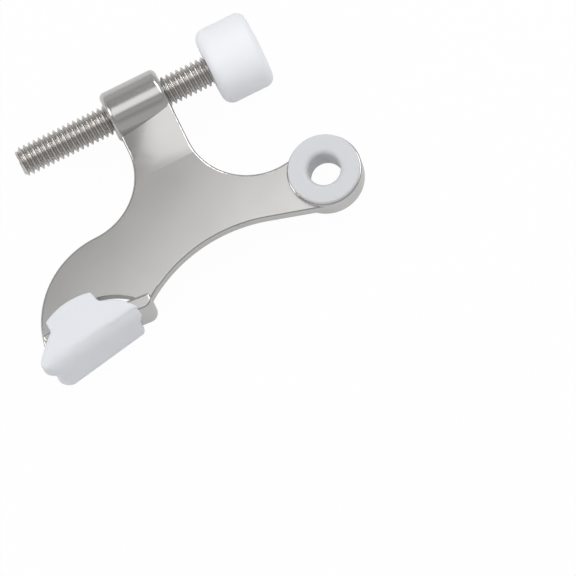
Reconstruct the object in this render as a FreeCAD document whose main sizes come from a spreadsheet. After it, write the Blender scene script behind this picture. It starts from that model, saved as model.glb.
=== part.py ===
import FreeCAD, Part
import Sketcher
import os
from math import sqrt

# Hinge pin door stop. Millimetres. The origin is the middle of the hinge pin bore, +Z runs along
# the pin, +X runs along the adjusting stud toward its bumper and +Y points from the eye to the stud.

doc = FreeCAD.newDocument("hinge_pin_door_stop")

# Driving sizes: alias, value, what it is.
SIZES = [
    ("plate_thickness", 3.3, "Thickness of the cast plate"),
    ("plate_edge_round", 0.6, "Rounding of the plate's edges"),
    ("pin_bore", 8.4, "Bore of the bushing for a 5/16 inch hinge pin"),
    ("bush_length", 7.9, "Length of the bushing along the pin"),
    ("bush_sleeve_diameter", 13.0, "Outside of the bushing's sleeve"),
    ("bush_flange_diameter", 18.6, "Outside of the bushing's flange"),
    ("bush_flange_thickness", 1.1, "Thickness of the bushing's flange"),
    ("bush_lip_round", 1.3, "Rounded mouth of the bushing's bore"),
    ("bush_edge_round", 0.35, "Rounding of the bushing's outer edges"),
    ("bush_clearance", 0.02, "Gap between the bushing's sleeve and the eye"),
    ("eye_diameter", 19.4, "Outside of the eye boss"),
    ("eye_edge_round", 0.5, "Rounding of the eye boss"),
    ("barrel_offset", 39.7, "Distance from the pin's axis to the stud's axis"),
    ("barrel_centre", -35.35, "Middle of the barrel along the stud"),
    ("barrel_length", 15.9, "Length of the barrel"),
    ("barrel_diameter", 13.9, "Outside of the barrel"),
    ("barrel_end_round", 1.5, "Rounding of the barrel's ends"),
    ("barrel_mouth_chamfer", 0.4, "Chamfer at the mouths of the barrel's bore"),
    ("neck_left_inset", 0.6, "Barrel's left end beyond the neck"),
    ("neck_right_inset", 0.12, "Barrel's right end beyond the neck"),
    ("neck_rise", 3.5, "Extra height of the plate at the barrel's right end"),
    ("neck_fade", 19.0, "Length over which the extra height fades out"),
    ("crotch_radius", 17.25, "Curve between the neck and the eye"),
    ("crotch_height", 24.0, "Centre of that curve above the pin"),
    ("hip_radius", 17.3, "Hollow curve on the left of the neck"),
    ("hip_height", 29.0, "Centre of the hollow curve above the pin"),
    ("shoulder_radius", 24.2, "Round shoulder above the foot"),
    ("belly_radius", 40.0, "Long hollow curve between the eye and the foot"),
    ("belly_centre_x", -30.5, "Centre of the long curve along the stud"),
    ("belly_height", -2.5, "Highest point of the long curve across the stud"),
    ("bar_centre_x", -68.7, "Middle of the foot bar along the stud"),
    ("bar_centre_y", -10.4, "Middle of the foot bar across the stud"),
    ("bar_tilt", -4.9, "Turn of the foot bar from the stud's direction, in degrees"),
    ("bar_length", 29.4, "Length of the foot bar"),
    ("bar_thickness", 3.6, "Thickness of the foot bar"),
    ("bar_depth", 12.2, "Size of the foot bar along the pin"),
    ("bar_corner", 0.9, "Rounded corners on the back of the foot bar, seen along the pin"),
    ("bar_front_corner", 2.5, "Rounded corners on the front of the foot bar"),
    ("bar_edge_round", 0.7, "Rounding of the foot bar's long edges"),
    ("slot_length", 22.6, "Length of the slot behind the foot bar"),
    ("slot_end_height", 1.1, "Height of the slot at its ends"),
    ("slot_radius", 16.6, "Arched edge of the slot"),
    ("stud_diameter", 7.94, "Outside of the 5/16-18 stud"),
    ("stud_left", -69.0, "Free end of the stud"),
    ("stud_end_chamfer", 1.0, "Chamfer at the stud's free end"),
    ("stud_clearance", 0.05, "Running gap around the stud in the barrel"),
    ("thread_pitch", 1.411, "Advance of the stud's thread in one turn"),
    ("thread_depth", 0.8, "Height of the stud's thread"),
    ("thread_crest", 0.2, "Flat on the crests of the thread"),
    ("stud_head_diameter", 13.0, "Head of the stud inside its bumper"),
    ("stud_head_thickness", 2.4, "Thickness of the stud's head"),
    ("bumper_left", -14.6, "Back of the stud's bumper"),
    ("bumper_length", 14.5, "Length of the stud's bumper"),
    ("bumper_diameter", 20.8, "Outside of the stud's bumper"),
    ("bumper_back_round", 2.6, "Rounding of the bumper's back edge"),
    ("bumper_face_round", 2.2, "Rounding of the bumper's front edge"),
    ("bumper_crown", 0.45, "Height of the dome on the bumper's front"),
    ("bumper_back_wall", 4.0, "Rubber between the stud's head and the bumper's back"),
    ("bumper_clearance", 0.06, "Running gap between the stud and its bumper"),
    ("boot_depth", 14.6, "Size of the foot boot along the pin"),
    ("boot_face_right_x", -58.3, "Right end of the boot's contact face"),
    ("boot_face_right_y", -15.1, "Height of the contact face's right end"),
    ("boot_face_left_x", -84.0, "Left end of the boot's contact face"),
    ("boot_face_left_y", -19.2, "Height of the contact face's left end"),
    ("boot_nose_x", -87.7, "Leftmost corner of the boot"),
    ("boot_nose_y", -15.6, "Height of the boot's leftmost corner"),
    ("boot_waist_x", -80.6, "Left end of the boot's back below the lip"),
    ("boot_waist_y", -8.0, "Height of that left end"),
    ("boot_lip_left_x", -81.0, "Left end of the lip over the plate"),
    ("boot_lip_left_y", -5.2, "Height of the lip's left end"),
    ("boot_lip_right_x", -67.2, "Right end of the lip over the plate"),
    ("boot_lip_right_y", -3.05, "Height of the lip's right end"),
    ("boot_lip_radius", 18.0, "Arched edge of the lip"),
    ("boot_step_x", -66.4, "Step beside the lip"),
    ("boot_step_y", -6.3, "Height of the boot's back beside the lip"),
    ("boot_back_radius", 11.2, "Arched back between the step and the right end"),
    ("boot_side_x", -57.7, "Rightmost corner of the boot"),
    ("boot_side_y", -13.5, "Height of the rightmost corner"),
    ("boot_left_taper", 2.2, "Left end of the boot drawn in at its far side"),
    ("boot_right_taper", 1.2, "Right end of the boot drawn in at its far side"),
    ("boot_corner_round", 1.4, "Rounding of the boot's small corners"),
    ("boot_nose_round", 2.0, "Rounding of the boot's corners on its contact side"),
    ("boot_edge_round", 1.2, "Rounding of the boot's rims"),
]

sizes = doc.addObject("Spreadsheet::Sheet", "Sizes")
for row, (alias, value, note) in enumerate(SIZES, start=1):
    sizes.set(f"A{row}", note)
    sizes.set(f"B{row}", str(value))
    sizes.setAlias(f"B{row}", alias)
doc.recompute()

# Places worked out from the driving sizes: alias, formula.
PLACES = [
    ("plate_half", "Sizes.plate_thickness / 2"),
    ("neck_top", "Sizes.plate_thickness / 2 + Sizes.neck_rise"),
    ("eye_radius", "Sizes.eye_diameter / 2"),
    ("eye_top", "Sizes.bush_length / 2 - Sizes.bush_flange_thickness"),
    ("eye_bottom", "-Sizes.bush_length / 2"),
    ("socket_radius", "Sizes.bush_sleeve_diameter / 2 + Sizes.bush_clearance"),
    ("barrel_left", "Sizes.barrel_centre - Sizes.barrel_length / 2"),
    ("barrel_right", "Sizes.barrel_centre + Sizes.barrel_length / 2"),
    ("barrel_bore", "Sizes.stud_diameter / 2 + Sizes.stud_clearance"),
    ("neck_left", "Sizes.barrel_centre - Sizes.barrel_length / 2 + Sizes.neck_left_inset"),
    ("neck_right", "Sizes.barrel_centre + Sizes.barrel_length / 2 - Sizes.neck_right_inset"),
    ("neck_foot", "Sizes.barrel_offset - Sizes.neck_fade"),
    ("crotch_centre_x", "neck_right + Sizes.crotch_radius"),
    ("crotch_end_x", "-eye_radius / 2"),
    ("crotch_end_y",
     "Sizes.crotch_height - sqrt(Sizes.crotch_radius ^ 2 - (crotch_end_x - crotch_centre_x) ^ 2)"),
    ("hip_centre_x", "neck_left - Sizes.hip_radius"),
    ("hip_foot", "Sizes.hip_height - Sizes.hip_radius"),
    ("shoulder_centre_y", "hip_foot - Sizes.shoulder_radius"),
    ("shoulder_end_y", "Sizes.bar_centre_y"),
    ("shoulder_end_x",
     "hip_centre_x - sqrt(Sizes.shoulder_radius ^ 2 - (shoulder_end_y - shoulder_centre_y) ^ 2)"),
    ("belly_centre_y", "Sizes.belly_height - Sizes.belly_radius"),
    ("belly_gap", "sqrt(Sizes.belly_centre_x ^ 2 + belly_centre_y ^ 2)"),
    ("lean_along", "(Sizes.belly_radius + eye_radius) / belly_gap"),
    ("lean_across", "sqrt(1 - lean_along ^ 2)"),
    ("tangent_x", "(lean_across * belly_centre_y - lean_along * Sizes.belly_centre_x) / belly_gap"),
    ("tangent_y", "-(lean_along * belly_centre_y + lean_across * Sizes.belly_centre_x) / belly_gap"),
    ("chin_x", "-eye_radius * tangent_x"),
    ("chin_y", "-eye_radius * tangent_y"),
    ("belly_start_x", "Sizes.belly_centre_x + Sizes.belly_radius * tangent_x"),
    ("belly_start_y", "belly_centre_y + Sizes.belly_radius * tangent_y"),
    ("belly_end_x", "Sizes.bar_centre_x + Sizes.bar_length / 2 - Sizes.bar_corner"),
    ("belly_end_y",
     "belly_centre_y + sqrt(Sizes.belly_radius ^ 2 - (belly_end_x - Sizes.belly_centre_x) ^ 2)"),
    ("bar_end", "Sizes.bar_length / 2"),
    ("bar_face", "Sizes.bar_thickness / 2"),
    ("slot_end", "Sizes.slot_length / 2"),
    ("slot_shoulder", "bar_face + Sizes.slot_end_height"),
    ("clear_left", "Sizes.bar_centre_x - Sizes.bar_length"),
    ("clear_front", "Sizes.bar_centre_y - Sizes.bar_length"),
    ("bumper_right", "Sizes.bumper_left + Sizes.bumper_length"),
    ("head_left", "Sizes.bumper_left + Sizes.bumper_back_wall"),
    ("head_right", "head_left + Sizes.stud_head_thickness"),
    ("stud_radius", "Sizes.stud_diameter / 2"),
    ("thread_start", "Sizes.stud_left + Sizes.stud_end_chamfer"),
    ("groove_width", "Sizes.thread_pitch - Sizes.thread_crest"),
    ("groove_middle", "thread_start + groove_width / 2"),
    ("thread_count", "floor((head_left - thread_start) / Sizes.thread_pitch)"),
    ("head_radius", "Sizes.stud_head_diameter / 2"),
    ("bumper_radius", "Sizes.bumper_diameter / 2"),
    ("crown_reach", "bumper_radius - Sizes.bumper_face_round"),
    ("crown_radius", "(crown_reach ^ 2 + Sizes.bumper_crown ^ 2) / (2 * Sizes.bumper_crown)"),
    ("bumper_edge", "bumper_right - Sizes.bumper_crown"),
    ("barrel_radius", "Sizes.barrel_diameter / 2"),
    ("bore_radius", "Sizes.pin_bore / 2"),
    ("sleeve_radius", "Sizes.bush_sleeve_diameter / 2"),
    ("flange_radius", "Sizes.bush_flange_diameter / 2"),
    ("bush_top", "Sizes.bush_length / 2"),
    ("ramp_left", "neck_left - Sizes.hip_radius"),
    ("ramp_right", "neck_right + Sizes.neck_rise"),
    ("ramp_slope", "Sizes.neck_rise / (neck_right - neck_left)"),
    ("ramp_drop", "ramp_slope * (ramp_left - neck_left)"),
    ("ramp_climb", "ramp_slope * (ramp_right - neck_left)"),
    ("ramp_ceiling", "neck_top + Sizes.plate_thickness"),
    ("face_rise", "Sizes.boot_face_right_y - Sizes.boot_face_left_y"),
    ("face_slope", "face_rise / (Sizes.boot_face_right_x - Sizes.boot_face_left_x)"),
    ("face_left_lift", "face_slope * Sizes.boot_left_taper"),
    ("face_right_drop", "face_slope * Sizes.boot_right_taper"),
    ("boot_top", "Sizes.boot_depth / 2"),
]

places = doc.addObject("Spreadsheet::Sheet", "Places")
for row, (alias, formula) in enumerate(PLACES, start=1):
    places.set(f"A{row}", alias.replace("_", " "))
    places.set(f"B{row}", "=" + formula)
    places.setAlias(f"B{row}", alias)
doc.recompute()

SIZE_NAMES = {alias for alias, value, note in SIZES}


def read(name):
    """The number in a cell of either sheet."""
    sheet = sizes if name in SIZE_NAMES else places
    return float(sheet.get(name))


def formula_of(name):
    """The name as an expression that other objects can use."""
    return ("Sizes." if name in SIZE_NAMES else "Places.") + name


class Spot:
    """A coordinate: the sum of cells, each times a number, as a value and as an expression."""

    def __init__(self, **shares):
        self.value = sum(share * read(name) for name, share in shares.items())
        self.formula = " + ".join(f"{share} * {formula_of(name)}" for name, share in shares.items())


def spot(place):
    """A coordinate from a Spot, or from one cell's name."""
    return place if isinstance(place, Spot) else Spot(**{place: 1})


def origin_plane(body, role):
    """One of the body's own origin planes."""
    return next(plane for plane in body.Origin.OriginFeatures if plane.Role == role)


def new_sketch(body, name, role, height=None):
    """A sketch on an origin plane, or at a bound height above it."""
    sketch = body.newObject("Sketcher::SketchObject", name)
    sketch.AttachmentSupport = (origin_plane(body, role), [""])
    sketch.MapMode = "FlatFace"
    if height is not None:
        sketch.setExpression("AttachmentOffset.Base.z", height)
    return sketch


def arc_between(start, end, radius, turn):
    """The shorter arc of a radius from start to end, turning left (1) or right (-1)."""
    chord = end - start
    rise = sqrt(max(radius ** 2 - (chord.Length / 2) ** 2, 0.0))
    across = FreeCAD.Vector(-chord.y, chord.x, 0).normalize()
    middle = (start + end) / 2
    crown = middle - across * turn * (radius - rise)
    return Part.Arc(start, crown, end)


def bind(sketch, kind, where, value, formula):
    """One driving constraint whose value follows a formula."""
    index = sketch.addConstraint(Sketcher.Constraint(kind, *where, value))
    sketch.setExpression(f"Constraints[{index}]", formula)


def closed_outline(sketch, corners, bends=None):
    """A closed run of lines and arcs. bends gives (radius cell, turn) for the side after a corner."""
    bends = bends or {}
    corners = [(spot(x), spot(y)) for x, y in corners]
    points = [FreeCAD.Vector(x.value, y.value, 0) for x, y in corners]
    count = len(points)
    for index, start in enumerate(points):
        end = points[(index + 1) % count]
        if index in bends:
            radius, turn = bends[index]
            sketch.addGeometry(arc_between(start, end, read(radius), turn), False)
        else:
            sketch.addGeometry(Part.LineSegment(start, end), False)
    # An arc drawn clockwise has its start and end points swapped.
    first = [2 if bends.get(index, ("", 1))[1] < 0 else 1 for index in range(count)]
    for index in range(count):
        following = (index + 1) % count
        sketch.addConstraint(
            Sketcher.Constraint("Coincident", index, 3 - first[index], following, first[following])
        )
    for index, (x, y) in enumerate(corners):
        bind(sketch, "DistanceX", (-1, 1, index, first[index]), x.value, x.formula)
        bind(sketch, "DistanceY", (-1, 1, index, first[index]), y.value, y.formula)
    for index, (radius, turn) in bends.items():
        bind(sketch, "Radius", (index,), read(radius), formula_of(radius))


def turning_axis(sketch, start, end):
    """A construction line that a profile is turned about."""
    first = FreeCAD.Vector(spot(start[0]).value, spot(start[1]).value, 0)
    last = FreeCAD.Vector(spot(end[0]).value, spot(end[1]).value, 0)
    line = sketch.addGeometry(Part.LineSegment(first, last), True)
    for point, place in ((1, start), (2, end)):
        x, y = spot(place[0]), spot(place[1])
        bind(sketch, "DistanceX", (-1, 1, line, point), x.value, x.formula)
        bind(sketch, "DistanceY", (-1, 1, line, point), y.value, y.formula)


def turned(body, name, sketch, axis, kind="PartDesign::Revolution"):
    """A full turn of a profile about a sketch axis, added or cut away."""
    feature = body.newObject(kind, name)
    feature.Profile = sketch
    feature.ReferenceAxis = (sketch, [axis])
    feature.Angle = 360.0
    doc.recompute()
    return feature


def padded(body, name, sketch, length):
    """A pad of a bound length, centred on its sketch."""
    feature = body.newObject("PartDesign::Pad", name)
    feature.Profile = sketch
    feature.SideType = "Symmetric"
    feature.setExpression("Length", length)
    doc.recompute()
    return feature


def rounded(body, name, base, edges, radius):
    """A fillet of bound radius on chosen edges."""
    feature = body.newObject("PartDesign::Fillet", name)
    feature.Base = (base, edges)
    feature.setExpression("Radius", radius)
    doc.recompute()
    return feature


def edges_where(shape, wanted):
    """Names of the edges that a test picks."""
    return [f"Edge{index}" for index, edge in enumerate(shape.Edges, start=1) if wanted(edge)]


def flat_at(edge, height):
    """True for an edge that lies at one height."""
    return abs(edge.BoundBox.ZMin - height) < 1e-4 and abs(edge.BoundBox.ZMax - height) < 1e-4


def new_body(label):
    """An empty body with its label."""
    body = doc.addObject("PartDesign::Body", label)
    body.Label = label
    return body


def lower_plate_top(body):
    """Takes the plate down to its thickness, but for a ramp that climbs to the barrel's right end."""
    flat = new_sketch(body, "flat_outline", "XY_Plane", "Places.plate_half")
    closed_outline(
        flat,
        [
            ("clear_left", "clear_front"),
            ("eye_radius", "clear_front"),
            ("eye_radius", "neck_foot"),
            ("clear_left", "neck_foot"),
        ],
    )
    cut = body.newObject("PartDesign::Pocket", "flat_top")
    cut.Profile = flat
    cut.Reversed = True
    cut.setExpression("Length", "Places.ramp_ceiling")
    doc.recompute()

    # The ramp fades in along the neck: share of the way to the barrel, share of the rise.
    stations = [(0.0, 0.0), (0.25, 0.15625), (0.5, 0.5), (0.75, 0.84375), (1.0, 1.0)]
    sections = []
    for number, (along, share) in enumerate(stations):
        height = f"-(Places.neck_foot + {along} * Sizes.neck_fade)"
        section = new_sketch(body, f"ramp_section_{number}", "XZ_Plane", height)
        low = Spot(plate_half=1, ramp_drop=share)
        high = Spot(plate_half=1, ramp_climb=share)
        closed_outline(
            section,
            [
                ("ramp_left", low),
                ("ramp_right", high),
                ("ramp_right", "ramp_ceiling"),
                ("ramp_left", "ramp_ceiling"),
            ],
        )
        sections.append(section)
    doc.recompute()
    ramp = body.newObject("PartDesign::SubtractiveLoft", "neck_ramp")
    ramp.Profile = sections[0]
    ramp.Sections = sections[1:]
    doc.recompute()
    return ramp


def is_upright(face):
    """True for a wall that runs along the pin."""
    low_u, high_u, low_v, high_v = face.ParameterRange
    return abs(face.normalAt((low_u + high_u) / 2, (low_v + high_v) / 2).z) < 0.05


def rim_edges(shape):
    """Edges between a wall and a top or bottom face."""
    names = []
    for index, edge in enumerate(shape.Edges, start=1):
        walls = [is_upright(face) for face in shape.ancestorsOfType(edge, Part.Face)]
        if sorted(walls) == [False, True]:
            names.append(f"Edge{index}")
    return names


def foot_sketch(body, name):
    """A sketch that is centred on the foot bar and turned with it."""
    sketch = new_sketch(body, name, "XY_Plane")
    sketch.setExpression("AttachmentOffset.Base.x", "Sizes.bar_centre_x")
    sketch.setExpression("AttachmentOffset.Base.y", "Sizes.bar_centre_y")
    sketch.setExpression("AttachmentOffset.Rotation.Angle", "Sizes.bar_tilt")
    return sketch


def build_cast_body():
    """The zinc casting: a Y-shaped plate with a barrel, an eye and a foot bar."""
    body = new_body("cast_body")

    outline = new_sketch(body, "plate_outline", "XY_Plane")
    closed_outline(
        outline,
        [
            ("neck_right", "barrel_offset"),
            ("neck_left", "barrel_offset"),
            ("neck_left", "hip_height"),
            ("hip_centre_x", "hip_foot"),
            ("shoulder_end_x", "shoulder_end_y"),
            ("belly_end_x", "belly_end_y"),
            ("belly_start_x", "belly_start_y"),
            ("chin_x", "chin_y"),
            ("crotch_end_x", "crotch_end_y"),
            ("neck_right", "crotch_height"),
        ],
        {
            2: ("hip_radius", -1),
            3: ("shoulder_radius", 1),
            5: ("belly_radius", -1),
            8: ("crotch_radius", -1),
        },
    )
    plate = body.newObject("PartDesign::Pad", "plate")
    plate.Profile = outline
    plate.SideType = "Two sides"
    plate.setExpression("Length", "Places.neck_top")
    plate.setExpression("Length2", "Places.plate_half")
    doc.recompute()
    ramp = lower_plate_top(body)
    rounded(body, "plate_rounding", ramp, rim_edges(ramp.Shape), "Sizes.plate_edge_round")

    barrel = new_sketch(body, "barrel_profile", "XY_Plane")
    skin = Spot(barrel_offset=1, barrel_radius=1)
    shoulder = Spot(barrel_offset=1, barrel_radius=1, barrel_end_round=-1)
    closed_outline(
        barrel,
        [
            ("barrel_left", "barrel_offset"),
            ("barrel_right", "barrel_offset"),
            ("barrel_right", shoulder),
            (Spot(barrel_right=1, barrel_end_round=-1), skin),
            (Spot(barrel_left=1, barrel_end_round=1), skin),
            ("barrel_left", shoulder),
        ],
        {2: ("barrel_end_round", 1), 4: ("barrel_end_round", 1)},
    )
    turning_axis(barrel, ("barrel_left", "barrel_offset"), ("barrel_right", "barrel_offset"))
    turned(body, "barrel", barrel, "Axis0")

    bore = new_sketch(body, "bore_profile", "XY_Plane")
    wall = Spot(barrel_offset=1, barrel_bore=1)
    mouth = Spot(barrel_offset=1, barrel_bore=1, barrel_mouth_chamfer=1)
    closed_outline(
        bore,
        [
            ("barrel_left", "barrel_offset"),
            ("barrel_right", "barrel_offset"),
            ("barrel_right", mouth),
            (Spot(barrel_right=1, barrel_mouth_chamfer=-1), wall),
            (Spot(barrel_left=1, barrel_mouth_chamfer=1), wall),
            ("barrel_left", mouth),
        ],
    )
    turning_axis(bore, ("barrel_left", "barrel_offset"), ("barrel_right", "barrel_offset"))
    turned(body, "stud_bore", bore, "Axis0", "PartDesign::Groove")

    eye = new_sketch(body, "eye_profile", "XZ_Plane")
    rim = Spot(eye_radius=1, eye_edge_round=-1)
    closed_outline(
        eye,
        [
            ("socket_radius", "eye_bottom"),
            (rim, "eye_bottom"),
            ("eye_radius", Spot(eye_bottom=1, eye_edge_round=1)),
            ("eye_radius", Spot(eye_top=1, eye_edge_round=-1)),
            (rim, "eye_top"),
            ("socket_radius", "eye_top"),
        ],
        {1: ("eye_edge_round", 1), 3: ("eye_edge_round", 1)},
    )
    turned(body, "eye", eye, "V_Axis")

    socket = new_sketch(body, "socket_outline", "XY_Plane")
    circle = socket.addGeometry(Part.Circle(FreeCAD.Vector(), FreeCAD.Vector(0, 0, 1), read("socket_radius")))
    socket.addConstraint(Sketcher.Constraint("Coincident", circle, 3, -1, 1))
    bind(socket, "Radius", (circle,), read("socket_radius"), "Places.socket_radius")
    bushing_hole = body.newObject("PartDesign::Pocket", "bushing_hole")
    bushing_hole.Profile = socket
    bushing_hole.SideType = "Symmetric"
    bushing_hole.setExpression("Length", "2 * Sizes.bush_length")
    doc.recompute()

    bar_outline = foot_sketch(body, "bar_outline")
    start, back, front = Spot(bar_end=-1), Spot(bar_face=1), Spot(bar_face=-1)
    back_corner = Spot(bar_face=1, bar_corner=-1)
    front_corner = Spot(bar_face=-1, bar_front_corner=1)
    closed_outline(
        bar_outline,
        [
            (Spot(bar_end=-1, bar_front_corner=1), front),
            (Spot(bar_end=1, bar_front_corner=-1), front),
            ("bar_end", front_corner),
            ("bar_end", back_corner),
            (Spot(bar_end=1, bar_corner=-1), back),
            (Spot(bar_end=-1, bar_corner=1), back),
            (start, back_corner),
            (start, front_corner),
        ],
        {
            1: ("bar_front_corner", 1),
            3: ("bar_corner", 1),
            5: ("bar_corner", 1),
            7: ("bar_front_corner", 1),
        },
    )
    bar = padded(body, "foot_bar", bar_outline, "Sizes.bar_depth")
    half = read("bar_depth") / 2
    ends = edges_where(bar.Shape, lambda edge: flat_at(edge, half) or flat_at(edge, -half))
    rounded(body, "bar_rounding", bar, ends, "Sizes.bar_edge_round")

    slot = foot_sketch(body, "slot_outline")
    slot_start = Spot(slot_end=-1)
    closed_outline(
        slot,
        [
            (slot_start, "bar_face"),
            ("slot_end", "bar_face"),
            ("slot_end", "slot_shoulder"),
            (slot_start, "slot_shoulder"),
        ],
        {2: ("slot_radius", 1)},
    )
    opening = body.newObject("PartDesign::Pocket", "slot")
    opening.Profile = slot
    opening.SideType = "Symmetric"
    opening.setExpression("Length", "2 * Sizes.plate_thickness")
    doc.recompute()
    return body


def build_pin_bushing():
    """The plastic bushing that the hinge pin turns in, with its flange on top of the eye."""
    body = new_body("pin_bushing")
    profile = new_sketch(body, "bushing_profile", "XZ_Plane")
    closed_outline(
        profile,
        [
            ("bore_radius", "eye_bottom"),
            ("sleeve_radius", "eye_bottom"),
            ("sleeve_radius", "eye_top"),
            ("flange_radius", "eye_top"),
            ("flange_radius", Spot(bush_top=1, bush_edge_round=-1)),
            (Spot(flange_radius=1, bush_edge_round=-1), "bush_top"),
            (Spot(bore_radius=1, bush_lip_round=1), "bush_top"),
            ("bore_radius", Spot(bush_top=1, bush_lip_round=-1)),
        ],
        {4: ("bush_edge_round", 1), 6: ("bush_lip_round", 1)},
    )
    turned(body, "bushing", profile, "V_Axis")
    return body


def build_adjusting_stud():
    """The stud that screws through the barrel, with a flat head for its bumper."""
    body = new_body("adjusting_stud")
    profile = new_sketch(body, "stud_profile", "XY_Plane")
    skin = Spot(barrel_offset=1, stud_radius=1)
    head = Spot(barrel_offset=1, head_radius=1)
    closed_outline(
        profile,
        [
            ("stud_left", "barrel_offset"),
            ("head_right", "barrel_offset"),
            ("head_right", head),
            ("head_left", head),
            ("head_left", skin),
            (Spot(stud_left=1, stud_end_chamfer=1), skin),
            ("stud_left", Spot(barrel_offset=1, stud_radius=1, stud_end_chamfer=-1)),
        ],
    )
    turning_axis(profile, ("stud_left", "barrel_offset"), ("head_right", "barrel_offset"))
    turned(body, "stud", profile, "Axis0")

    # The thread is a row of turned grooves, one to a pitch.
    cut = new_sketch(body, "groove_profile", "XY_Plane")
    closed_outline(
        cut,
        [
            ("groove_middle", Spot(barrel_offset=1, stud_radius=1, thread_depth=-1)),
            (Spot(thread_start=1, groove_width=1), skin),
            ("thread_start", skin),
        ],
    )
    turning_axis(cut, ("thread_start", "barrel_offset"), ("groove_middle", "barrel_offset"))
    groove = turned(body, "thread_groove", cut, "Axis0", "PartDesign::Groove")
    thread = body.newObject("PartDesign::LinearPattern", "thread")
    thread.Originals = [groove]
    thread.Direction = (cut, ["H_Axis"])
    thread.setExpression("Occurrences", "Places.thread_count")
    thread.setExpression("Length", "(Places.thread_count - 1) * Sizes.thread_pitch")
    body.Tip = thread
    doc.recompute()
    return body


def build_stud_bumper():
    """The rubber cap over the stud's head."""
    body = new_body("stud_bumper")
    profile = new_sketch(body, "bumper_profile", "XY_Plane")
    hole = Spot(barrel_offset=1, stud_radius=1, bumper_clearance=1)
    cavity = Spot(barrel_offset=1, head_radius=1, bumper_clearance=1)
    cavity_left = Spot(head_left=1, bumper_clearance=-1)
    cavity_right = Spot(head_right=1, bumper_clearance=1)
    skin = Spot(barrel_offset=1, bumper_radius=1)
    closed_outline(
        profile,
        [
            ("bumper_left", hole),
            (cavity_left, hole),
            (cavity_left, cavity),
            (cavity_right, cavity),
            (cavity_right, "barrel_offset"),
            ("bumper_right", "barrel_offset"),
            ("bumper_edge", Spot(barrel_offset=1, crown_reach=1)),
            (Spot(bumper_edge=1, bumper_face_round=-1), skin),
            (Spot(bumper_left=1, bumper_back_round=1), skin),
            ("bumper_left", Spot(barrel_offset=1, bumper_radius=1, bumper_back_round=-1)),
        ],
        {5: ("crown_radius", 1), 6: ("bumper_face_round", 1), 8: ("bumper_back_round", 1)},
    )
    turning_axis(profile, ("bumper_left", "barrel_offset"), ("bumper_right", "barrel_offset"))
    turned(body, "bumper", profile, "Axis0")
    return body


def boot_section(body, name, height, taper):
    """The boot's outline at one height, its two ends drawn in by a share of the taper."""
    section = new_sketch(body, name, "XY_Plane", height)
    left = {"boot_left_taper": taper}
    right = {"boot_right_taper": -taper}
    closed_outline(
        section,
        [
            ("boot_lip_right_x", "boot_lip_right_y"),
            (Spot(boot_lip_left_x=1, **left), "boot_lip_left_y"),
            (Spot(boot_waist_x=1, **left), "boot_waist_y"),
            (Spot(boot_nose_x=1, **left), "boot_nose_y"),
            (Spot(boot_face_left_x=1, **left), Spot(boot_face_left_y=1, face_left_lift=taper)),
            (Spot(boot_face_right_x=1, **right), Spot(boot_face_right_y=1, face_right_drop=-taper)),
            (Spot(boot_side_x=1, **right), "boot_side_y"),
            ("boot_step_x", "boot_step_y"),
        ],
        {0: ("boot_lip_radius", 1), 6: ("boot_back_radius", 1)},
    )
    return section


def is_sharp(shape, edge):
    """True where the two faces beside an edge meet at an angle."""
    middle = edge.valueAt((edge.FirstParameter + edge.LastParameter) / 2)
    normals = []
    for face in shape.ancestorsOfType(edge, Part.Face):
        normals.append(face.normalAt(*face.Surface.parameter(middle)))
    return normals[0].getAngle(normals[1]) > 0.05


def boot_corners(shape):
    """Names of the sharp edges that run from the boot's near face to its far face."""
    depth = read("boot_depth")
    return edges_where(shape, lambda edge: edge.BoundBox.ZLength > depth - 0.01 and is_sharp(shape, edge))


def starts_at(shape, name, corners):
    """True for an edge whose near end is one of the named corners."""
    near = max(shape.getElement(name).Vertexes, key=lambda vertex: vertex.Z)
    return any(abs(near.X - read(x)) + abs(near.Y - read(y)) < 0.01 for x, y in corners)


def build_foot_boot(cast_body):
    """The rubber boot on the foot bar, which laps over the plate through the slot."""
    body = new_body("boot_block")
    near_section = boot_section(body, "boot_near_section", "Places.boot_top", 0)
    far_section = boot_section(body, "boot_far_section", "-Places.boot_top", 1)
    doc.recompute()
    block = body.newObject("PartDesign::AdditiveLoft", "boot_loft")
    block.Profile = near_section
    block.Sections = [far_section]
    block.Ruled = True
    doc.recompute()

    contact_corners = [
        ("boot_nose_x", "boot_nose_y"),
        ("boot_face_left_x", "boot_face_left_y"),
        ("boot_face_right_x", "boot_face_right_y"),
    ]
    contact = [name for name in boot_corners(block.Shape) if starts_at(block.Shape, name, contact_corners)]
    soft = rounded(body, "boot_contact_corners", block, contact, "Sizes.boot_nose_round")
    soft = rounded(body, "boot_back_corners", soft, boot_corners(soft.Shape), "Sizes.boot_corner_round")
    top = read("boot_top")
    rims = edges_where(soft.Shape, lambda edge: flat_at(edge, top) or flat_at(edge, -top))
    rounded(body, "boot_rims", soft, rims, "Sizes.boot_edge_round")

    boot = doc.addObject("Part::Cut", "foot_boot")
    boot.Label = "foot_boot"
    boot.Base = body
    boot.Tool = cast_body
    doc.recompute()
    return boot


cast_body = build_cast_body()
nodes = [
    cast_body,
    build_pin_bushing(),
    build_adjusting_stud(),
    build_stud_bumper(),
    build_foot_boot(cast_body),
]
doc.recompute()

for item in doc.Objects:
    if "Invalid" in item.State or "Error" in item.State:
        raise RuntimeError(f"{item.Label} did not build: {item.State}")

os.makedirs("parts", exist_ok=True)
for node in nodes:
    if node.Shape.isNull() or not node.Shape.isValid():
        raise RuntimeError(f"{node.Label} has no valid shape")
    node.Shape.exportStep(f"parts/{node.Label}.step")
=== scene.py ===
import math
from collections import namedtuple

import bmesh
import bpy
from mathutils import Matrix, Vector


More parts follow.
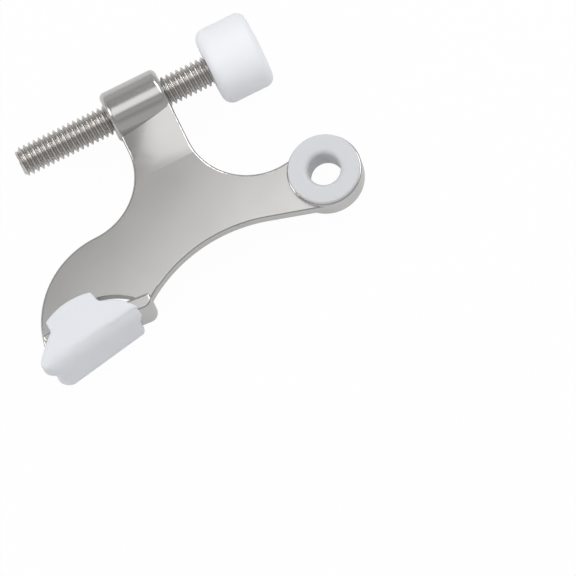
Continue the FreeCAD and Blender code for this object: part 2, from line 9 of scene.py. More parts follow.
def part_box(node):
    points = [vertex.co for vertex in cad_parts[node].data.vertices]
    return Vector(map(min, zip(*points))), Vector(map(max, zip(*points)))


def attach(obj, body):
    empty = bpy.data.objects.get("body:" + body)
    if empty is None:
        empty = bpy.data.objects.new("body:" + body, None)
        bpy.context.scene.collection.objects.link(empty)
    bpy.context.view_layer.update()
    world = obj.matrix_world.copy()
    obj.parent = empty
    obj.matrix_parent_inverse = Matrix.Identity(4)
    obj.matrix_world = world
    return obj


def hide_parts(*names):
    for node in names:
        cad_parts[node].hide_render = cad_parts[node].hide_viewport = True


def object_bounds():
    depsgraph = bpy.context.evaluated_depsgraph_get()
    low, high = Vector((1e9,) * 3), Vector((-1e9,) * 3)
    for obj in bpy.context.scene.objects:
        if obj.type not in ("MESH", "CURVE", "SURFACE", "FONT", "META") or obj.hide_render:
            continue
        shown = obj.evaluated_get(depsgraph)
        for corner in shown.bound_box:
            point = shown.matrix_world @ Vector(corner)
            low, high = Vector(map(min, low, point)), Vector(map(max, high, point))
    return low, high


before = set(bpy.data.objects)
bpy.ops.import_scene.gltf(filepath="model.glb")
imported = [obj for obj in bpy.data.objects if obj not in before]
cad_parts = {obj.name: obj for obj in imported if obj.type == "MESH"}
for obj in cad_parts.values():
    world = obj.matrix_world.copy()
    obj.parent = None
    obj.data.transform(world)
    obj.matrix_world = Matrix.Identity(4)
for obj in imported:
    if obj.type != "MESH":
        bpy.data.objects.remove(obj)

bl_info = {
    "name": "Hinge Pin Door Stop",
    "version": (1, 0, 0),
    "blender": (4, 5, 0),
    "location": "View3D > Sidebar > Door Stop",
    "description": "Dresses the packed hinge pin door stop with its thread, rubbers, finishes and stage",
    "category": "Object",
}

CAD_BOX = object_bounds()
STUD_LOW, STUD_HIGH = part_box("adjusting_stud")
BUMPER_LOW, BUMPER_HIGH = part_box("stud_bumper")
BOOT_LOW, BOOT_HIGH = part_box("foot_boot")
STUD_AXIS = (STUD_LOW.y + STUD_HIGH.y) / 2
MM = 0.001

# How near vertices are merged, how near they count as in one place, and how near a cut snaps to them.
MERGE_GAP = 0.002 * MM
SAME_PLACE = 0.001 * MM
CUT_GAP = 0.0001 * MM

# Sockets of a Mix node that mixes colours. Its other kinds use the same names, so these are numbers.
MIX_A, MIX_B, MIX_RESULT = 6, 7, 2

# A corner of the boot's outline in millimetres: its place along and across the stud, its shift along the
# stud behind the near lobe, the bulge of the side that follows, and its share of the contact face's inset.
Corner = namedtuple("Corner", "along across shift bulge contact")

# Anticlockwise from the right end of the lip that laps over the plate.
BOOT_OUTLINE = (
    Corner(-67.2, -3.05, 0.0, 1.37, 0.0),
    Corner(-81.0, -5.2, 2.0, 0.0, 0.0),
    Corner(-80.6, -8.0, 2.2, 0.3, 0.0),
    Corner(-86.65, -14.6, 2.2, 0.2, 0.0),
    Corner(-86.4, -17.2, 2.2, 0.3, 0.1),
    Corner(-83.7, -19.3, 2.2, 0.0, 0.8),
    Corner(-58.3, -15.3, -1.2, 0.0, 0.85),
    Corner(-57.7, -13.5, -1.2, 1.45, 0.0),
    Corner(-66.4, -6.3, 0.0, 0.0, 0.0),
)


def linear(code):
    """An sRGB hex colour as linear red, green, blue and alpha."""
    shares = [int(code[place:place + 2], 16) / 255 for place in (1, 3, 5)]
    return tuple(
        share / 12.92 if share <= 0.04045 else ((share + 0.055) / 1.055) ** 2.4 for share in shares
    ) + (1.0,)


def per_metre(millimetres):
    """The scale of a pattern whose features are that many millimetres apart."""
    return 1000.0 / millimetres


def add_node(tree, kind, inputs=None, **settings):
    """Adds a node, gives it its settings, and fills or links its inputs."""
    node = tree.nodes.new(kind)
    for name, value in settings.items():
        setattr(node, name, value)
    for name, value in (inputs or {}).items():
        if isinstance(value, bpy.types.NodeSocket):
            tree.links.new(value, node.inputs[name])
        else:
            node.inputs[name].default_value = value
    return node


def new_material(name):
    """A material with no nodes yet, and its node tree."""
    material = bpy.data.materials.new(name)
    material.use_nodes = True
    material.node_tree.nodes.clear()
    return material, material.node_tree


def length(name, description, default):
    """A size in metres that a user may change."""
    return bpy.props.FloatProperty(
        name=name, description=description, default=default,
        unit="LENGTH", subtype="DISTANCE", precision=5,
    )


def angle(name, description, default):
    """An angle that a user may change, with its default in degrees."""
    return bpy.props.FloatProperty(
        name=name, description=description, default=math.radians(default), subtype="ANGLE"
    )


def count(name, description, default):
    """A whole number that a user may change."""
    return bpy.props.IntProperty(name=name, description=description, default=default)


def colour(name, description, default):
    """A colour that a user may change."""
    return bpy.props.FloatVectorProperty(
        name=name, description=description, default=linear(default),
        size=4, min=0.0, max=1.0, subtype="COLOR",
    )


class StudSizes(bpy.types.PropertyGroup):
    """Sizes of the adjusting stud."""

    outside: length("Outside diameter", "Over the thread's crests", 7.94 * MM)
    root: length("Root diameter", "Across the bottom of the thread", 6.2 * MM)
    pitch: length("Pitch", "Advance of the thread in one turn", 25.4 / 18 * MM)
    # Over this band at the crest the colour stays at the full steel; below it, it darkens into the roots'
    # painted shade.
    burnish: length("Burnish", "Height of the thread's top that is bright all over", 0.2 * MM)
    chamfer: length("End chamfer", "Chamfer at the free end", 1.0 * MM)
    head_diameter: length("Head diameter", "Flat head inside the bumper", STUD_HIGH.y - STUD_LOW.y)
    head_thickness: length("Head thickness", "Thickness of the flat head", 2.4 * MM)
    head_rim: length("Head rim", "Rounding of the flat head's two rims", 0.3 * MM)
    steps: count("Steps", "Flats in one turn of the thread", 48)
    head_steps: count("Head steps", "Flats round the head", 64)


class RubberSizes(bpy.types.PropertyGroup):
    """Sizes of the two rubber pieces."""

    seat_gap: length("Seat gap", "Gap between the bumper and the stud's head", 0.06 * MM)
    back_round: length("Bumper back", "Rounding of the bumper's back edge", 2.9 * MM)
    face_round: length("Bumper face", "Rounding of the bumper's front edge", 2.3 * MM)
    crown: length("Bumper crown", "How far the front face is domed", 0.45 * MM)
    hole: length("Bumper hole", "Hole for the stud in the bumper's back", 8.06 * MM)
    hole_round: length("Bumper hole rim", "Rounding of that hole's rim", 0.4 * MM)
    bumper_steps: count("Bumper steps", "Flats round the bumper", 96)
    boot_soft: length("Boot near edge", "Rounding from the near side to the contact face", 4.4 * MM)
    boot_lean: length("Boot lean", "How far the contact face leans back at the near side", 1.7 * MM)
    boot_far: length("Boot far edge", "Rounding from the far side to the contact face", 2.0 * MM)
    boot_lobe: length("Boot lobe", "Thickness of the lobe that overhangs at the near side", 3.6 * MM)
    boot_step: length("Boot step", "Depth over which the boot steps back behind the lobe", 3.2 * MM)
    boot_grid: length("Boot grid", "Mesh size that the boot is smoothed on", 0.35 * MM)
    boot_passes: count("Boot passes", "Smoothing passes on the boot", 18)


class FinishColours(bpy.types.PropertyGroup):
    """Colours of the finishes."""

    nickel: colour("Nickel", "Satin nickel plating", "#c6c5c4")
    nickel_shade: colour("Nickel shade", "Slightly thicker patches of the plating", "#bfbebc")
    steel: colour("Steel", "Crests of the plated thread", "#cdcbc9")
    # The roots' colour is darker than the crests': painted shade in the hollows of the thread.
    steel_root_painted_shade: colour("Thread root", "Dull plating at the bottom of the thread", "#c2beba")
    rubber: colour("Bumper rubber", "White rubber of the stud's bumper", "#eeeff3")
    rubber_shade: colour("Bumper shade", "Cooler flow marks in that rubber", "#e7e9ee")
    boot: colour("Boot rubber", "Cooler white rubber of the foot's boot", "#e1e3e7")
    boot_shade: colour("Boot shade", "Cooler flow marks in the boot", "#dadde2")
    nylon: colour("Nylon", "White bushing", "#cccdd0")


class StageSettings(bpy.types.PropertyGroup):
    """Camera and paper."""

    azimuth: angle("Azimuth", "Camera's turn about the pin", -4.02)
    elevation: angle("Elevation", "Camera's height above the plate", 70)
    roll: angle("Roll", "Camera's turn about its own axis", 22.53)
    distance: length("Distance", "From the camera to the object", 1.5)
    view_width: length("View width", "Width of the picture at the object", 0.1472)
    aim: bpy.props.FloatVectorProperty(
        name="Aim", description="Point in the middle of the picture",
        default=(-0.0216, -0.0205, -0.0080), subtype="XYZ_LENGTH",
    )
    floor_half: length("Floor half", "From the floor's middle to its edges", 2.0)
    floor_gap: length("Floor gap", "Air between the floor and the object's lowest point", 0.3 * MM)
    paper: colour("Paper", "White floor and backdrop", "#ffffff")
    bounce: colour("Bounce", "What the floor throws back on the object", "#e8e8e8")


def satin_nickel(colours):
    """Satin nickel plating on a zinc die casting: a fine even grain blurs reflections into soft bands."""
    material, tree = new_material("satin_nickel_plating")
    place = add_node(tree, "ShaderNodeTexCoord").outputs["Object"]
    cloud = add_node(
        tree, "ShaderNodeTexNoise", {"Vector": place, "Scale": per_metre(14), "Detail": 2.0}
    )
    tone = add_node(
        tree, "ShaderNodeMix",
        {"Factor": cloud.outputs["Fac"], MIX_A: colours.nickel, MIX_B: colours.nickel_shade},
        data_type="RGBA",
    )
    gloss = add_node(
        tree, "ShaderNodeMapRange",
        {
            "Value": cloud.outputs["Fac"], "From Min": 0.3, "From Max": 0.7,
            "To Min": 0.19, "To Max": 0.24,
        },
    )
    # The real grain is near 0.05 mm; it is drawn at 0.3 mm so that it shows at all.
    grain = add_node(
        tree, "ShaderNodeTexNoise", {"Vector": place, "Scale": per_metre(0.3), "Detail": 3.0}
    )
    relief = add_node(
        tree, "ShaderNodeBump",
        {"Height": grain.outputs["Fac"], "Strength": 0.25, "Distance": 0.01 * MM},
    )
    shader = add_node(
        tree, "ShaderNodeBsdfPrincipled",
        {
            "Base Color": tone.outputs[MIX_RESULT], "Metallic": 1.0,
            "Roughness": gloss.outputs["Result"], "Normal": relief.outputs["Normal"],
        },
    )
    add_node(tree, "ShaderNodeOutputMaterial", {"Surface": shader.outputs["BSDF"]})
    return material


def plated_steel(colours, sizes):
    """Bright plated steel with a rolled thread: crests are burnished and glossier; the roots' darker
    colour is painted shade.
    """
    material, tree = new_material("plated_rolled_thread")
    place = add_node(tree, "ShaderNodeTexCoord").outputs["Object"]
    # The distance from the stud's axis tells the crests from the roots.
    centred = add_node(
        tree, "ShaderNodeVectorMath", {0: place, 1: (0.0, STUD_AXIS, 0.0)}, operation="SUBTRACT"
    )
    flat = add_node(
        tree, "ShaderNodeVectorMath", {0: centred.outputs["Vector"], 1: (0.0, 1.0, 1.0)},
        operation="MULTIPLY",
    )
    radius = add_node(tree, "ShaderNodeVectorMath", {0: flat.outputs["Vector"]}, operation="LENGTH")
    crest = add_node(
        tree, "ShaderNodeMapRange",
        {
            "Value": radius.outputs["Value"], "From Min": sizes.root / 2,
            "From Max": sizes.outside / 2 - sizes.burnish,
        },
    )
    # The colour darkens from the crests into the roots: painted shade.
    tone = add_node(
        tree, "ShaderNodeMix",
        {"Factor": crest.outputs["Result"], MIX_A: colours.steel_root_painted_shade, MIX_B: colours.steel},
        data_type="RGBA",
    )
    gloss = add_node(
        tree, "ShaderNodeMapRange", {"Value": crest.outputs["Result"], "To Min": 0.3, "To Max": 0.25}
    )
    # Marks of the thread rolls, drawn 0.6 mm apart.
    marks = add_node(
        tree, "ShaderNodeTexNoise", {"Vector": place, "Scale": per_metre(0.6), "Detail": 2.0}
    )
    relief = add_node(
        tree, "ShaderNodeBump",
        {"Height": marks.outputs["Fac"], "Strength": 0.2, "Distance": 0.01 * MM},
    )
    shader = add_node(
        tree, "ShaderNodeBsdfPrincipled",
        {
            "Base Color": tone.outputs[MIX_RESULT], "Metallic": 1.0,
            "Roughness": gloss.outputs["Result"], "Normal": relief.outputs["Normal"],
        },
    )
    add_node(tree, "ShaderNodeOutputMaterial", {"Surface": shader.outputs["BSDF"]})
    return material


def white_rubber(name, base, shade):
    """White moulded rubber: a soft, matt surface with its mould's fine texture and faint flow marks."""
    material, tree = new_material(name)
    place = add_node(tree, "ShaderNodeTexCoord").outputs["Object"]
    flow = add_node(
        tree, "ShaderNodeTexNoise", {"Vector": place, "Scale": per_metre(11), "Detail": 2.0}
    )
    tone = add_node(
        tree, "ShaderNodeMix", {"Factor": flow.outputs["Fac"], MIX_A: base, MIX_B: shade},
        data_type="RGBA",
    )
    # Spark-eroded mould texture, drawn at 0.4 mm where the real one is near 0.1 mm.
    texture = add_node(
        tree, "ShaderNodeTexNoise", {"Vector": place, "Scale": per_metre(0.4), "Detail": 2.0}
    )
    relief = add_node(
        tree, "ShaderNodeBump",
        {"Height": texture.outputs["Fac"], "Strength": 0.2, "Distance": 0.02 * MM},
    )
    gloss = add_node(
        tree, "ShaderNodeMapRange", {"Value": texture.outputs["Fac"], "To Min": 0.42, "To Max": 0.52}
    )
    shader = add_node(
        tree, "ShaderNodeBsdfPrincipled",
        {
            "Base Color": tone.outputs[MIX_RESULT], "IOR": 1.5,
            "Roughness": gloss.outputs["Result"], "Normal": relief.outputs["Normal"],
        },
    )
    add_node(tree, "ShaderNodeOutputMaterial", {"Surface": shader.outputs["BSDF"]})
    return material


def white_nylon(colours):
    """Injection-moulded white nylon: harder and a little glossier than the rubber."""
    material, tree = new_material("white_moulded_nylon")
    place = add_node(tree, "ShaderNodeTexCoord").outputs["Object"]
    # The mould's fine texture, drawn at 0.5 mm so that it shows.
    texture = add_node(
        tree, "ShaderNodeTexNoise", {"Vector": place, "Scale": per_metre(0.5), "Detail": 2.0}
    )
    relief = add_node(
        tree, "ShaderNodeBump",
        {"Height": texture.outputs["Fac"], "Strength": 0.15, "Distance": 0.015 * MM},
    )
    gloss = add_node(
        tree, "ShaderNodeMapRange", {"Value": texture.outputs["Fac"], "To Min": 0.4, "To Max": 0.5}
    )
    shader = add_node(
        tree, "ShaderNodeBsdfPrincipled",
        {
            "Base Color": colours.nylon, "IOR": 1.53,
            "Roughness": gloss.outputs["Result"], "Normal": relief.outputs["Normal"],
        },
    )
    add_node(tree, "ShaderNodeOutputMaterial", {"Surface": shader.outputs["BSDF"]})
    return material


def dress(node, material):
    """Gives a CAD node's object its finish."""
    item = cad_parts[node]
    for slot in item.material_slots:
        slot.material = material


def new_piece(shape, name, material, sharp):
    """A mesh object from a bmesh, smooth but for edges sharper than an angle in degrees."""
    mesh = bpy.data.meshes.new(name)
    shape.to_mesh(mesh)
    shape.free()
    for face in mesh.polygons:
        face.use_smooth = True
    mesh.set_sharp_from_angle(angle=math.radians(sharp))
    mesh.materials.append(material)
    piece = bpy.data.objects.new(name, mesh)
    bpy.context.scene.collection.objects.link(piece)
    return piece


def whole(shape):
    """Every vertex, edge and face of a bmesh."""
    return shape.verts[:] + shape.edges[:] + shape.faces[:]


def profile_chain(shape, points):
    """An open chain of edges through points given as (along the stud, distance from its axis)."""
    corners = [shape.verts.new((along, STUD_AXIS + distance, 0.0)) for along, distance in points]
    edges = [shape.edges.new(pair) for pair in zip(corners, corners[1:])]
    return corners + edges


def close_and_face_out(shape):
    """Merges doubles and points the faces outwards."""
    bmesh.ops.remove_doubles(shape, verts=shape.verts[:], dist=MERGE_GAP)
    bmesh.ops.recalc_face_normals(shape, faces=shape.faces[:])


class DOORSTOP_OT_casting(bpy.types.Operator):
    """Plates the casting in satin nickel"""

    bl_idname = "door_stop.casting"
    bl_label = "Cast body"

    def execute(self, context):
        dress("cast_body", satin_nickel(context.scene.door_stop_colours))
        return {"FINISHED"}


class DOORSTOP_OT_bushing(bpy.types.Operator):
    """Gives the pin's bushing its white nylon"""

    bl_idname = "door_stop.bushing"
    bl_label = "Pin bushing"

    def execute(self, context):
        dress("pin_bushing", white_nylon(context.scene.door_stop_colours))
        return {"FINISHED"}


def rolled_thread(sizes, end):
    """A right-hand thread from before the stud's free end to past a place along the stud."""
    # One pitch of the thread's section: share of the pitch, share of the thread's height.
    section = [
        (0.0, 0.0), (0.08, 0.02), (0.14, 0.12), (0.36, 0.88), (0.39, 0.97), (0.43, 1.0),
        (0.57, 1.0), (0.61, 0.97), (0.64, 0.88), (0.86, 0.12), (0.92, 0.02), (1.0, 0.0),
    ]
    # Pitches of thread before and past the ends, which are cut off later.
    before, past = 1.5, 1.0
    crest, root = sizes.outside / 2, sizes.root / 2
    start = STUD_LOW.x - before * sizes.pitch
    turns = (end - start) / sizes.pitch + past
    thread = bmesh.new()
    chain = profile_chain(
        thread,
        [(start + along * sizes.pitch, root + rise * (crest - root)) for along, rise in section],
    )
    bmesh.ops.spin(
        thread, geom=chain, cent=(0.0, STUD_AXIS, 0.0), axis=(1.0, 0.0, 0.0),
        dvec=(sizes.pitch / sizes.steps, 0.0, 0.0), angle=math.tau, steps=sizes.steps,
    )
    # Each copy doubles the number of turns.
    made = 1
    while made < turns:
        copy = bmesh.ops.duplicate(thread, geom=whole(thread))
        copied = [item for item in copy["geom"] if isinstance(item, bmesh.types.BMVert)]
        bmesh.ops.translate(thread, verts=copied, vec=(made * sizes.pitch, 0.0, 0.0))
        made *= 2
    close_and_face_out(thread)
    return thread


def chamfer_end(thread, sizes):
    """Turns the thread's free end down to a cone."""
    smallest = sizes.outside / 2 - sizes.chamfer
    for corner in thread.verts:
        outward = Vector((0.0, corner.co.y - STUD_AXIS, corner.co.z))
        limit = smallest + max(corner.co.x - STUD_LOW.x, 0.0)
        if outward.length > limit:
            outward *= limit / outward.length
            corner.co.y = STUD_AXIS + outward.y
            corner.co.z = outward.z


def cut_square(shape, place, side):
    """Cuts a shape square across the stud, drops what lies to one side and closes the cut."""
    bmesh.ops.bisect_plane(
        shape, geom=whole(shape), dist=CUT_GAP,
        plane_co=(place, 0.0, 0.0), plane_no=(side, 0.0, 0.0), clear_outer=True,
    )
    rim = [
        edge for edge in shape.edges
        if edge.is_boundary and all(abs(corner.co.x - place) < SAME_PLACE for corner in edge.verts)
    ]
    bmesh.ops.edgeloop_fill(shape, edges=rim)


def add_head(shape, sizes, middle):
    """Adds the stud's flat head, centred on a place along the stud, and rounds its rims."""
    radius = sizes.head_diameter / 2
    along_stud = Matrix.Rotation(math.pi / 2, 4, "Y")
    head = bmesh.ops.create_cone(
        shape, cap_ends=True, segments=sizes.head_steps, radius1=radius, radius2=radius,
        depth=sizes.head_thickness, matrix=Matrix.Translation((middle, STUD_AXIS, 0.0)) @ along_stud,
    )
    corners = set(head["verts"])
    rims = [
        edge for edge in shape.edges
        if corners.issuperset(edge.verts)
        and abs(edge.verts[0].co.x - edge.verts[1].co.x) < SAME_PLACE
    ]
    bmesh.ops.bevel(
        shape, geom=rims, offset=sizes.head_rim, offset_type="OFFSET", segments=3, profile=0.5,
        affect="EDGES", material=-1,
    )


class DOORSTOP_OT_stud(bpy.types.Operator):
    """Makes the threaded stud with its chamfered end and its flat head"""

    bl_idname = "door_stop.stud"
    bl_label = "Threaded stud"

    def execute(self, context):
        sizes = context.scene.door_stop_stud
        head_left = STUD_HIGH.x - sizes.head_thickness
        head_middle = head_left + sizes.head_thickness / 2
        stud = rolled_thread(sizes, head_left)
        chamfer_end(stud, sizes)
        cut_square(stud, STUD_LOW.x, -1.0)
        cut_square(stud, head_middle, 1.0)
        bmesh.ops.recalc_face_normals(stud, faces=stud.faces[:])
        add_head(stud, sizes, head_middle)
        steel = plated_steel(context.scene.door_stop_colours, sizes)
        piece = new_piece(stud, "threaded_stud", steel, sharp=38)
        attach(piece, "stud")
        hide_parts("adjusting_stud")
        return {"FINISHED"}


def ring_edges(shape, place, radius):
    """The edges of a ring round the stud's axis, at a place along it."""
    def on_ring(corner):
        reach = math.hypot(corner.co.y - STUD_AXIS, corner.co.z)
        return abs(corner.co.x - place) < SAME_PLACE and abs(reach - radius) < SAME_PLACE

    return [edge for edge in shape.edges if all(on_ring(corner) for corner in edge.verts)]


class DOORSTOP_OT_bumper(bpy.types.Operator):
    """Moulds the rubber bumper over the stud's head"""

    bl_idname = "door_stop.bumper"
    bl_label = "Stud bumper"

    def execute(self, context):
        sizes = context.scene.door_stop_rubber
        stud = context.scene.door_stop_stud
        back, front = BUMPER_LOW.x, BUMPER_HIGH.x
        outside, hole = (BUMPER_HIGH.y - BUMPER_LOW.y) / 2, sizes.hole / 2
        pocket = stud.head_diameter / 2 + sizes.seat_gap
        pocket_front = STUD_HIGH.x + sizes.seat_gap
        pocket_back = STUD_HIGH.x - stud.head_thickness - sizes.seat_gap
        edge = front - sizes.crown
        # A ring on the dome: its share of the bumper's radius, and how much of the crown is lost there.
        dome_share, dome_drop = 0.55, 0.3
        bumper = bmesh.new()
        chain = profile_chain(
            bumper,
            [
                (pocket_front, 0.0), (pocket_front, pocket), (pocket_back, pocket), (pocket_back, hole),
                (back, hole), (back, outside), (edge, outside),
                (front - dome_drop * sizes.crown, outside * dome_share), (front, 0.0),
            ],
        )
        bmesh.ops.spin(
            bumper, geom=chain, cent=(0.0, STUD_AXIS, 0.0), axis=(1.0, 0.0, 0.0),
            angle=math.tau, steps=sizes.bumper_steps, use_merge=True,
        )
        close_and_face_out(bumper)
        soft_rims = (
            (back, outside, sizes.back_round),
            (edge, outside, sizes.face_round),
            (back, hole, sizes.hole_round),
        )
        for place, radius, rounding in soft_rims:
            bmesh.ops.bevel(
                bumper, geom=ring_edges(bumper, place, radius), offset=rounding, offset_type="OFFSET",
                segments=8, profile=0.5, affect="EDGES", material=-1, clamp_overlap=True,
            )
        colours = context.scene.door_stop_colours
        rubber = white_rubber("white_bumper_rubber", colours.rubber, colours.rubber_shade)
        piece = new_piece(bumper, "rubber_bumper", rubber, sharp=60)
        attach(piece, "tip")
        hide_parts("stud_bumper")
        return {"FINISHED"}


def rounding_levels(radius, steps):
    """Depths below a face that divide the rounding of its edge into equal angles."""
    return [radius * (1 - math.cos(math.pi / 2 * step / steps)) for step in range(steps + 1)]


def set_in(radius, depth):
    """How far a rounded edge lies inside its corner at a depth below the face."""
    short = max(radius - depth, 0.0)
    return radius - math.sqrt(radius ** 2 - short ** 2)


def boot_levels(sizes, depth):
    """Depths below the boot's near side at which its outline is drawn, each of them once."""
    near_steps, lobe_steps, far_steps = 8, 4, 6
    levels = rounding_levels(sizes.boot_soft, near_steps)
    levels += [sizes.boot_lobe + sizes.boot_step * step / lobe_steps for step in range(lobe_steps + 1)]
    levels += [depth - level for level in rounding_levels(sizes.boot_far, far_steps)]
    levels.sort()
    return levels[:1] + [
        level for above, level in zip(levels, levels[1:]) if level - above > MERGE_GAP
    ]


def boot_ring(boot, sizes, level, depth):
    """A closed ring of edges round the boot's outline at a depth below its near side."""
    inset = set_in(sizes.boot_soft, level) + set_in(sizes.boot_far, depth - level)
    inset += sizes.boot_lean * (1 - level / depth)
    beyond_lobe = min(max((level - sizes.boot_lobe) / sizes.boot_step, 0.0), 1.0)
    spots = [
        Vector((
            (corner.along + corner.shift * beyond_lobe) * MM,
            corner.across * MM + inset * corner.contact,
        ))
        for corner in BOOT_OUTLINE
    ]
    bulge_steps = 8
    ring = []
    for corner, first, last in zip(BOOT_OUTLINE, spots, spots[1:] + spots[:1]):
        side = last - first
        outward = Vector((side.y, -side.x)).normalized() * corner.bulge * MM
        steps = bulge_steps if corner.bulge else 1
        for share in (step / steps for step in range(steps)):
            # The side bulges as a parabola, whose factor of 4 gives the full bulge halfway.
            spot = first + side * share + outward * 4 * share * (1 - share)
            ring.append(boot.verts.new((spot.x, spot.y, BOOT_HIGH.z - level)))
    return [boot.edges.new(pair) for pair in zip(ring, ring[1:] + ring[:1])]


class DOORSTOP_OT_boot(bpy.types.Operator):
    """Moulds the soft boot round the foot bar"""

    bl_idname = "door_stop.boot"
    bl_label = "Foot boot"

    def execute(self, context):
        sizes = context.scene.door_stop_rubber
        depth = BOOT_HIGH.z - BOOT_LOW.z
        boot = bmesh.new()
        rings = [boot_ring(boot, sizes, level, depth) for level in boot_levels(sizes, depth)]
        for upper, lower in zip(rings, rings[1:]):
            bmesh.ops.bridge_loops(boot, edges=upper + lower)
        # The faces between the rings are not flat, so all are split the same way.
        bmesh.ops.triangulate(boot, faces=boot.faces[:], quad_method="ALTERNATE")
        for ring in (rings[0], rings[-1]):
            bmesh.ops.edgeloop_fill(boot, edges=ring)
        close_and_face_out(boot)
        colours = context.scene.door_stop_colours
        rubber = white_rubber("white_boot_rubber", colours.boot, colours.boot_shade)
        piece = new_piece(boot, "rubber_boot", rubber, sharp=180)
        grid = piece.modifiers.new("even_grid", "REMESH")
        grid.mode = "VOXEL"
        grid.voxel_size = sizes.boot_grid
        grid.use_smooth_shade = True
        soften = piece.modifiers.new("soft_edges", "SMOOTH")
        soften.factor = 0.5
        soften.iterations = sizes.boot_passes
        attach(piece, "stop")
        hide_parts("foot_boot")
        return {"FINISHED"}


def white_paper(settings):
    """Matt white paper: it shows as a clean background and still takes the object's shadow."""
    # How much of it is plain white to the camera or through glass, and how much in a reflection.
    seen_share, mirrored_share = 0.97, 0.25
    material, tree = new_material("white_paper_floor")
    path = add_node(tree, "ShaderNodeLightPath")
    seen = add_node(
        tree, "ShaderNodeMath",
        {0: path.outputs["Is Camera Ray"], 1: path.outputs["Is Transmission Ray"]},
        operation="MAXIMUM",
    )
    clear = add_node(tree, "ShaderNodeMath", {0: seen.outputs[0], 1: seen_share}, operation="MULTIPLY")
    mirrored = add_node(
        tree, "ShaderNodeMath", {0: path.outputs["Is Glossy Ray"], 1: mirrored_share},
        operation="MULTIPLY",
    )
    share = add_node(
        tree, "ShaderNodeMath", {0: clear.outputs[0], 1: mirrored.outputs[0]}, operation="MAXIMUM"
    )
    matte = add_node(tree, "ShaderNodeBsdfDiffuse", {"Color": settings.bounce})
    glow = add_node(tree, "ShaderNodeEmission", {"Color": settings.paper, "Strength": 1.0})
    blend = add_node(
        tree, "ShaderNodeMixShader",
        {0: share.outputs[0], 1: matte.outputs["BSDF"], 2: glow.outputs["Emission"]},
    )
    add_node(tree, "ShaderNodeOutputMaterial", {"Surface": blend.outputs["Shader"]})
    return material


def lay_floor(settings):
    """Lays the paper just below the object."""
    shape = bmesh.new()
    level = Matrix.Translation((0.0, 0.0, CAD_BOX[0].z - settings.floor_gap))
    bmesh.ops.create_grid(shape, x_segments=1, y_segments=1, size=settings.floor_half, matrix=level)
    floor = new_piece(shape, "floor", white_paper(settings), sharp=30)


def studio_world(settings):
    """A white backdrop with an even ambient light. Reflections show a room that is dimmer overhead."""
    world = bpy.data.worlds.new("studio")
    world.use_nodes = True
    tree = world.node_tree
    tree.nodes.clear()
    path = add_node(tree, "ShaderNodeLightPath")
    direction = add_node(tree, "ShaderNodeTexCoord").outputs["Generated"]
    toward = add_node(tree, "ShaderNodeSeparateXYZ", {"Vector": direction})
    ceiling = add_node(
        tree, "ShaderNodeMapRange",
        {
            "Value": toward.outputs["Z"], "From Min": 0.38, "From Max": 0.74,
            "To Min": 0.58, "To Max": 0.36,
        },
        interpolation_type="SMOOTHSTEP",
    )
    aside = add_node(tree, "ShaderNodeMath", {0: toward.outputs["X"]}, operation="ABSOLUTE")
    sides = add_node(
        tree, "ShaderNodeMapRange",
        {
            "Value": aside.outputs[0], "From Min": 0.45, "From Max": 0.85,
            "To Min": 1.0, "To Max": 0.8,
        },
        interpolation_type="SMOOTHSTEP",
    )
    room = add_node(
        tree, "ShaderNodeMath", {0: ceiling.outputs["Result"], 1: sides.outputs["Result"]},
        operation="MULTIPLY",
    )
    front = add_node(
        tree, "ShaderNodeMapRange",
        {
            "Value": toward.outputs["Y"], "From Min": -0.8, "From Max": 0.2,
            "To Min": 0.68, "To Max": 0.62,
        },
        interpolation_type="SMOOTHSTEP",
    )
    strengths = (front.outputs["Result"], room.outputs[0], 1.0)
    ambient, mirror, backdrop = (
        add_node(tree, "ShaderNodeBackground", {"Color": settings.paper, "Strength": strength})
        for strength in strengths
    )
    reflected = add_node(
        tree, "ShaderNodeMixShader",
        {
            0: path.outputs["Is Glossy Ray"], 1: ambient.outputs["Background"],
            2: mirror.outputs["Background"],
        },
    )
    surface = add_node(
        tree, "ShaderNodeMixShader",
        {
            0: path.outputs["Is Camera Ray"], 1: reflected.outputs["Shader"],
            2: backdrop.outputs["Background"],
        },
    )
    add_node(tree, "ShaderNodeOutputWorld", {"Surface": surface.outputs["Shader"]})
    return world


def area_lamp(name, place, target, size, radiance, turn=0.0):
    """A soft box of a given brightness that faces a point, turned by degrees about its own axis."""
    lamp = bpy.data.lights.new(name, "AREA")
    lamp.shape = "RECTANGLE"
    lamp.size, lamp.size_y = size
    lamp.energy = radiance * math.pi * size[0] * size[1]
    item = bpy.data.objects.new(name, lamp)
    item.location = place
    facing = (Vector(place) - Vector(target)).to_track_quat("Z", "Y").to_matrix()
    item.rotation_euler = (facing @ Matrix.Rotation(math.radians(turn), 3, "Z")).to_euler()
    bpy.context.scene.collection.objects.link(item)
    return item


def hang_lamps():
    """Hangs the soft boxes over the object and the strips that light its edges."""
    # Each has its place, the point that it faces and its size, all in metres, and its brightness.
    area_lamp("overhead_box", (-0.02, 0.046, 0.30), (-0.02, 0.046, 0.0), (0.32, 0.15), 0.97, turn=23.5)
    area_lamp("right_box", (0.08, 0.050, 0.30), (0.08, 0.050, 0.0), (0.20, 0.18), 0.55)
    area_lamp("front_panel", (0.0, -0.16, 0.30), (0.0, -0.16, 0.0), (0.30, 0.12), 0.15)
    area_lamp("right_strip", (0.26, 0.08, 0.34), (-0.03, 0.02, 0.0), (0.24, 0.13), 4.0)
    area_lamp("left_strip", (-0.38, 0.12, 0.27), (-0.04, 0.02, 0.0), (0.18, 0.28), 2.8)
    # This one shows in reflections only. It draws the bright line along the crotch's edge.
    corner = area_lamp("corner_strip", (0.156, 0.242, 0.345), (-0.03, 0.02, 0.0), (0.26, 0.10), 5.0)
    corner.visible_diffuse = False


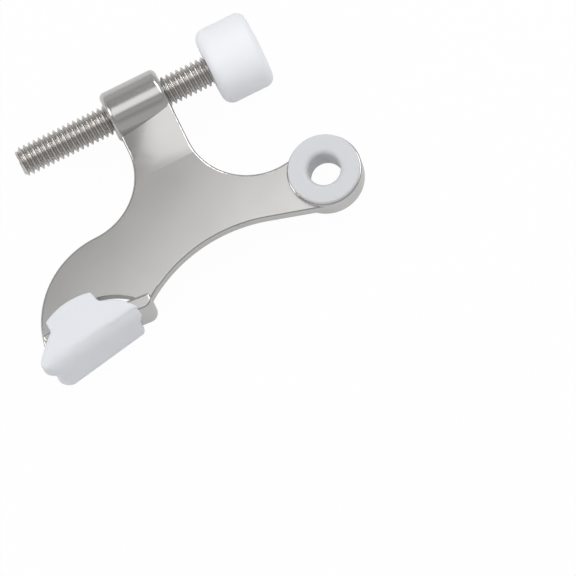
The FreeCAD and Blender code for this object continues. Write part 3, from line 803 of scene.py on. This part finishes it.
def place_camera(scene, settings):
    """Sets the camera at the photograph's viewing angle."""
    lens = bpy.data.cameras.new("camera")
    lens.sensor_width = 36.0
    lens.lens = lens.sensor_width * settings.distance / settings.view_width
    camera = bpy.data.objects.new("camera", lens)
    backward = Vector((
        math.sin(settings.azimuth) * math.cos(settings.elevation),
        -math.cos(settings.azimuth) * math.cos(settings.elevation),
        math.sin(settings.elevation),
    ))
    upright = backward.to_track_quat("Z", "Y").to_matrix().to_4x4()
    turn = upright @ Matrix.Rotation(-settings.roll, 4, "Z")
    place = Vector(settings.aim) + backward * settings.distance
    camera.matrix_world = Matrix.Translation(place) @ turn
    scene.collection.objects.link(camera)
    scene.camera = camera


class DOORSTOP_OT_stage(bpy.types.Operator):
    """Sets the white floor, the soft boxes and the camera"""

    bl_idname = "door_stop.stage"
    bl_label = "Stage"

    def execute(self, context):
        scene = context.scene
        settings = scene.door_stop_stage
        scene.view_settings.view_transform = "Standard"
        lay_floor(settings)
        scene.world = studio_world(settings)
        hang_lamps()
        place_camera(scene, settings)
        return {"FINISHED"}


class DOORSTOP_PT_panel(bpy.types.Panel):
    """Lists the door stop's pieces"""

    bl_idname = "DOORSTOP_PT_panel"
    bl_label = "Door Stop"
    bl_space_type = "VIEW_3D"
    bl_region_type = "UI"
    bl_category = "Door Stop"

    def draw(self, context):
        for piece in PIECES:
            self.layout.operator(piece.bl_idname)
        for group in GROUPS:
            box = self.layout.box()
            settings = getattr(context.scene, group)
            for name in settings.bl_rna.properties.keys():
                if name not in {"rna_type", "name"}:
                    box.prop(settings, name)


PIECES = (
    DOORSTOP_OT_casting,
    DOORSTOP_OT_bushing,
    DOORSTOP_OT_stud,
    DOORSTOP_OT_bumper,
    DOORSTOP_OT_boot,
    DOORSTOP_OT_stage,
)
GROUPS = {
    "door_stop_stud": StudSizes,
    "door_stop_rubber": RubberSizes,
    "door_stop_colours": FinishColours,
    "door_stop_stage": StageSettings,
}


def register():
    for group in GROUPS.values():
        bpy.utils.register_class(group)
    for piece in PIECES:
        bpy.utils.register_class(piece)
    bpy.utils.register_class(DOORSTOP_PT_panel)
    for name, group in GROUPS.items():
        setattr(bpy.types.Scene, name, bpy.props.PointerProperty(type=group))


def unregister():
    for name in GROUPS:
        delattr(bpy.types.Scene, name)
    bpy.utils.unregister_class(DOORSTOP_PT_panel)
    for piece in reversed(PIECES):
        bpy.utils.unregister_class(piece)
    for group in GROUPS.values():
        bpy.utils.unregister_class(group)


def main():
    register()
    bpy.ops.door_stop.casting()
    bpy.ops.door_stop.bushing()
    bpy.ops.door_stop.stud()
    bpy.ops.door_stop.bumper()
    bpy.ops.door_stop.boot()
    bpy.ops.door_stop.stage()


if __name__ == "__main__":
    main()
